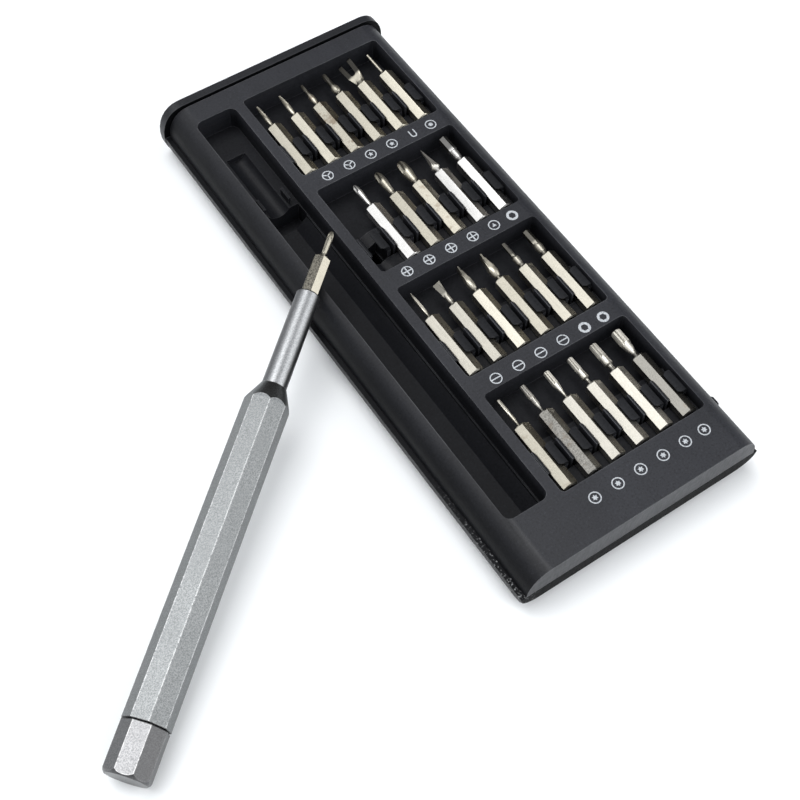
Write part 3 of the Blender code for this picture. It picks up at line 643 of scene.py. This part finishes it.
def build_hooks(mat):
    """Two hooks for each slot, attached to the tray; those of a slot that holds a bit get meshes of
    their own.
    """
    for row, names in enumerate(ROWS):
        for column, bit in enumerate(names):
            x = FIRST_X + BIT_PITCH * column
            for side, section in (("right", RIGHT_HOOK), ("left", LEFT_HOOK)):
                name = f"clip_hook_{side}_{row + 1}_{column + 1}"
                hook = clip_hook(name, section, x, row_rear(row), mat)
                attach(hook, "tray")
                if bit:
                    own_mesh(hook)


MARK_SHIFT = 2.2 * MM         # the first mark's place, right of the first bit's axis
MARK_PITCH = 6.75 * MM
LAST_MARK_SHIFT = -0.95 * MM
MARK_DROP = (3.9, 3.7, 4.4, 5.7)    # from the bits' rear ends to each row's marks, in mm
MARK_T = 0.03 * MM
RING_R = 1.42                 # of a mark's ring, in mm like the marks' other points
RING_STROKE = 0.3
RING_SIDES = 48
STROKE_END = RING_R - 0.15    # where a stroke runs into the ring


def arc(radius, start, end, steps):
    """Points along an arc, angles in degrees from +X."""
    turns = [radians(start + (end - start) * k / steps) for k in range(steps + 1)]
    return [(radius * cos(t), radius * sin(t)) for t in turns]


def star_outline(points, outer, inner):
    outline = []
    for k in range(points * 2):
        turn = pi / 2 + pi * k / points
        radius = inner if k % 2 else outer
        outline.append((radius * cos(turn), radius * sin(turn)))
    return outline


def bar_outline(length, width, turn, start=0.0):
    """A straight stroke from start to length, turned by an angle in degrees from +X."""
    c, s = cos(radians(turn)), sin(radians(turn))
    corners = ((start, -width / 2), (length, -width / 2), (length, width / 2), (start, width / 2))
    return [(px * c - py * s, px * s + py * c) for px, py in corners]


def annulus(bm, place, outer, inner, hole_sides=RING_SIDES):
    """A flat ring whose hole has any number of sides."""
    rings = []
    for radius, sides, z in (
        (outer, RING_SIDES, 0.0), (outer, RING_SIDES, MARK_T),
        (inner, hole_sides, MARK_T), (inner, hole_sides, 0.0),
    ):
        ring = []
        for k in range(RING_SIDES):
            turn = 2 * pi * k / RING_SIDES
            half = pi / sides
            reach = radius * cos(half) / cos((turn % (2 * half)) - half)
            reach = radius if sides == RING_SIDES else reach
            ring.append(place((reach * cos(turn), reach * sin(turn)), z))
        rings.append(ring)
    loft(bm, rings, closed=True)


def shape(bm, place, outline):
    loft(bm, [[place(point, z) for point in outline] for z in (0.0, MARK_T)])


def ring_mark(bm, place):
    annulus(bm, place, RING_R + RING_STROKE / 2, RING_R - RING_STROKE / 2)


def three_arm_mark(bm, place):
    ring_mark(bm, place)
    for turn in (30, 150, 270):
        shape(bm, place, bar_outline(STROKE_END, 0.36, turn, 0.12))
    shape(bm, place, arc(0.24, 0, 330, 11))


def cross_mark(bm, place):
    ring_mark(bm, place)
    shape(bm, place, bar_outline(STROKE_END, 0.36, 0, -STROKE_END))
    for turn in (90, 270):
        shape(bm, place, bar_outline(STROKE_END, 0.36, turn, 0.19))


def slot_mark(bm, place):
    ring_mark(bm, place)
    shape(bm, place, bar_outline(STROKE_END, 0.32, 0, -STROKE_END))


def star_mark(bm, place, points, outer, inner):
    ring_mark(bm, place)
    shape(bm, place, star_outline(points, outer, inner))


def five_star_mark(bm, place):
    star_mark(bm, place, 5, 0.78, 0.38)


def six_star_mark(bm, place):
    star_mark(bm, place, 6, 0.8, 0.46)


def small_star_mark(bm, place):
    star_mark(bm, place, 8, 0.72, 0.5)


def triangle_mark(bm, place):
    ring_mark(bm, place)
    shape(bm, place, [(-0.62, -0.42), (0.62, -0.42), (0.0, 0.66)])


def hexagon_mark(bm, place):
    annulus(bm, place, RING_R + RING_STROKE / 2, 0.98, 6)


def fork_mark(bm, place):
    """A plain U, open towards the bits."""
    outer = [(0.9, 1.25)] + [(px, py - 0.45) for px, py in arc(0.9, 0, -180, 12)] + [(-0.9, 1.25)]
    inner = [(-0.56, 1.25)] + [(px, py - 0.45) for px, py in arc(0.56, -180, 0, 12)] + [(0.56, 1.25)]
    halves = list(zip(outer, reversed(inner)))
    rings = []
    for (ox, oy), (ix, iy) in halves:
        rings.append([
            place((ox, oy), 0.0), place((ox, oy), MARK_T),
            place((ix, iy), MARK_T), place((ix, iy), 0.0),
        ])
    loft(bm, rings)


MARKS = (
    (three_arm_mark, three_arm_mark, five_star_mark, five_star_mark, fork_mark, small_star_mark),
    (cross_mark, cross_mark, cross_mark, cross_mark, triangle_mark, hexagon_mark),
    (slot_mark, slot_mark, slot_mark, slot_mark, hexagon_mark, hexagon_mark),
    (six_star_mark,) * 6,
)


def build_marks(mat):
    """The white marks on the flat below each pocket, one piece for each row."""
    for row, kinds in enumerate(MARKS):
        bm = bmesh.new()
        for column, kind in enumerate(kinds):
            x = FIRST_X + MARK_SHIFT + MARK_PITCH * column
            if column == len(kinds) - 1:
                x += LAST_MARK_SHIFT
            y = row_rear(row) - MARK_DROP[row] * MM

            def place(point, z, x=x, y=y):
                return (x + point[0] * MM, y + point[1] * MM, TOP_Z + z)

            kind(bm, place)
        marks = mesh_object(f"printed_marks_row_{row + 1}", bm, mat)
        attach(marks, "tray")


# Dressing the parts


# Tone, warmth, stains, darkness of the tip (below 0, its paleness) and where that begins, in mm
# from the hexagon
BIT_LOOKS = {
    "bit_three_wing_1": (0.60, 1.0, 0.10, 0.30, 6.0),
    "bit_three_wing_2": (0.70, 1.0, 0.05, 0.30, 6.0),
    "bit_five_lobe_1": (0.64, 1.0, 0.80, 0.75, 4.4),
    "bit_five_lobe_2": (0.51, 1.0, 0.05, 0.80, 3.3),
    "bit_fork": (0.69, 1.0, 0.05, 0.97, 3.4),
    "bit_pin": (0.73, 1.0, 0.05, 0.10, 6.0),
    "bit_cross_1": (0.58, 1.0, 0.20, 0.15, 6.0),
    "bit_cross_2": (0.95, 0.2, 0.00, 0.35, 5.5),
    "bit_cross_3": (0.47, 1.0, 0.05, 0.45, 5.0),
    "bit_cross_4": (0.58, 1.0, 0.55, 0.45, 5.0),
    "bit_triangle": (0.76, 0.2, 0.00, -0.80, 0.8),
    "bit_hex_3": (0.62, 0.2, 0.00, 0.80, 4.0),
    "bit_slot_1": (0.70, 0.8, 0.10, 0.15, 6.0),
    "bit_slot_2": (0.56, 0.8, 0.05, 0.60, 3.6),
    "bit_slot_3": (0.59, 0.9, 0.05, 0.50, 5.2),
    "bit_slot_4": (0.61, 1.0, 0.10, 0.40, 5.4),
    "bit_hex_1": (0.43, 0.9, 0.05, 0.85, 4.0),
    "bit_hex_2": (0.45, 0.9, 0.05, 0.80, 4.2),
    "bit_star_1": (0.58, 1.0, 0.40, -0.40, 3.0),
    "bit_star_2": (0.42, 0.5, 0.50, -0.40, 1.0),
    "bit_star_3": (0.66, 0.7, 0.05, -0.60, 2.0),
    "bit_star_4": (0.54, 0.7, 0.05, -0.70, 2.0),
    "bit_star_5": (0.46, 0.7, 0.05, -0.70, 2.0),
    "bit_star_6": (0.33, 0.6, 0.20, -0.80, 1.0),
}
UPPER_LEFT = (-0.5, 0.0, 0.866)     # where the bright facets of the bits in the tray face
UPPER_RIGHT = (0.5, 0.0, 0.866)
PAINTED_SHEEN_FACETS = {                     # bits whose upper right facet has a painted reflection, paler, and how much
    "bit_cross_2": 0.5, "bit_cross_3": 0.5, "bit_triangle": 0.8,
    "bit_hex_1": 0.5, "bit_star_4": 0.7, "bit_star_5": 0.95,
}


def dress_bits():
    for seed, (name, look) in enumerate(BIT_LOOKS.items()):
        if name == DRIVER_BIT:
            axis = Vector(JOINTS[DRIVER_BIT + "_out"]["axis"])
            start = rear_end(name, axis)
        else:
            start = Vector(bit_centre(name))
            axis = Vector((0, 1, 0))
        mat = bit_metal(name + "_nickel", seed, look, start, axis)
        if name == DRIVER_BIT:
            tint_facet(mat, DRIVER_BIT_FACET, 0.95, TARNISH_AND_SHADE)
        if name == "bit_star_2":
            tint_facet(mat, UPPER_LEFT, 0.75, TARNISH_AND_SHADE)
        if name in PAINTED_SHEEN_FACETS:
            tint_facet(mat, UPPER_RIGHT, PAINTED_SHEEN_FACETS[name], rgb(0.95, 0.92, 0.86))
        dress(name, mat, 0.07 * MM, 2, 40)


def rear_end(name, axis):
    """The hindmost point of a part along an axis."""
    points = (vertex.co for vertex in NODES[name].data.vertices)
    return min(points, key=lambda point: point.dot(axis)).copy()


def dress_parts():
    along = Vector(JOINTS["cap_spin"]["axis"])
    dress("bit_tray", tray_plastic(), 0.16 * MM, 2)
    dress("tray_base", base_plastic(), 0.3 * MM, 3)
    barrel = barrel_metal(along)
    cap = cap_metal(along)
    dress("handle_barrel", barrel, 0.2 * MM, 3, 25)
    dress("end_cap", cap, 0.2 * MM, 3, 25)
    steel = bearing_metal()
    for name in ("bearing_inner_ring", "bearing_outer_ring", "bearing_ball_ring", "spindle_screw"):
        dress(name, steel, 0.08 * MM)
    dress("socket_magnet", magnet_metal(), 0.12 * MM)
    dress_bits()


# Stage, light and camera


def build_floor():
    bm = bmesh.new()
    corners = ((-1, -1), (1, -1), (1, 1), (-1, 1))
    bm.faces.new([bm.verts.new((x * FLOOR_HALF, y * FLOOR_HALF, 0.0)) for x, y in corners])
    mat, tree, shader = new_material("pale_floor")
    cloud = noise(tree, object_coords(tree), 3.0)
    color = mix_color(tree, cloud, rgb(0.88, 0.9, 0.91), rgb(0.9, 0.92, 0.93))
    put(tree, shader.inputs["Base Color"], color)
    shader.inputs["Roughness"].default_value = 0.85
    shader.inputs["Emission Color"].default_value = rgb(1.0, 1.0, 1.0)
    shader.inputs["Emission Strength"].default_value = FLOOR_GLOW
    floor = mesh_object("floor", bm, mat)
    floor.location.z = -0.05 * MM
    floor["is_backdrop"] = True


def build_world():
    """A soft tent with three softboxes, open to a dark room on one side, white for the camera."""
    world = bpy.data.worlds.new("soft_tent")
    bpy.context.scene.world = world
    world.use_nodes = True
    tree = world.node_tree
    background = tree.nodes["Background"]
    direction = add(tree, "ShaderNodeTexCoord").outputs["Generated"]
    height = separate(tree, direction)[2]
    low, high = rgb(0.5, 0.5, 0.5), rgb(0.6, 0.61, 0.63)
    light = mix_color(tree, ramp(tree, height, 0.0, 0.6), low, high)
    for target, outer, inner, brightness in SOFTBOXES:
        towards = dot_product(tree, direction, Vector(target).normalized())
        box = ramp(tree, towards, outer, inner, 0.0, brightness)
        inputs = {0: light, 1: box}
        light = add(tree, "ShaderNodeVectorMath", inputs, operation="ADD").outputs[0]
    towards = dot_product(tree, direction, Vector(DARK_SIDE).normalized())
    opening = ramp(tree, towards, *DARK_EDGE)
    light = mix_color(tree, opening, light, rgb(0.05, 0.045, 0.04))
    seen = add(tree, "ShaderNodeLightPath").outputs["Is Camera Ray"]
    put(tree, background.inputs["Color"], mix_color(tree, seen, light, rgb(1.0, 1.0, 1.0)))
    background.inputs["Strength"].default_value = LIGHT


def build_stage():
    build_floor()
    build_world()
    camera = bpy.data.cameras.new("camera")
    camera.lens = CAMERA_LENS
    camera.clip_start = 0.01
    rig = bpy.data.objects.new("camera", camera)
    bpy.context.scene.collection.objects.link(rig)
    rig.location = CAMERA_PLACE
    rig.rotation_euler = [radians(turn) for turn in CAMERA_TURN]
    bpy.context.scene.camera = rig
    bpy.context.scene.view_settings.view_transform = "Standard"


dress_parts()
build_hooks(clip_plastic())
build_marks(print_ink())
build_stage()

boxes = {"cad": cad_bounds, "visual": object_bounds()}
{key: [list(corner) for corner in box] for key, box in boxes.items()}
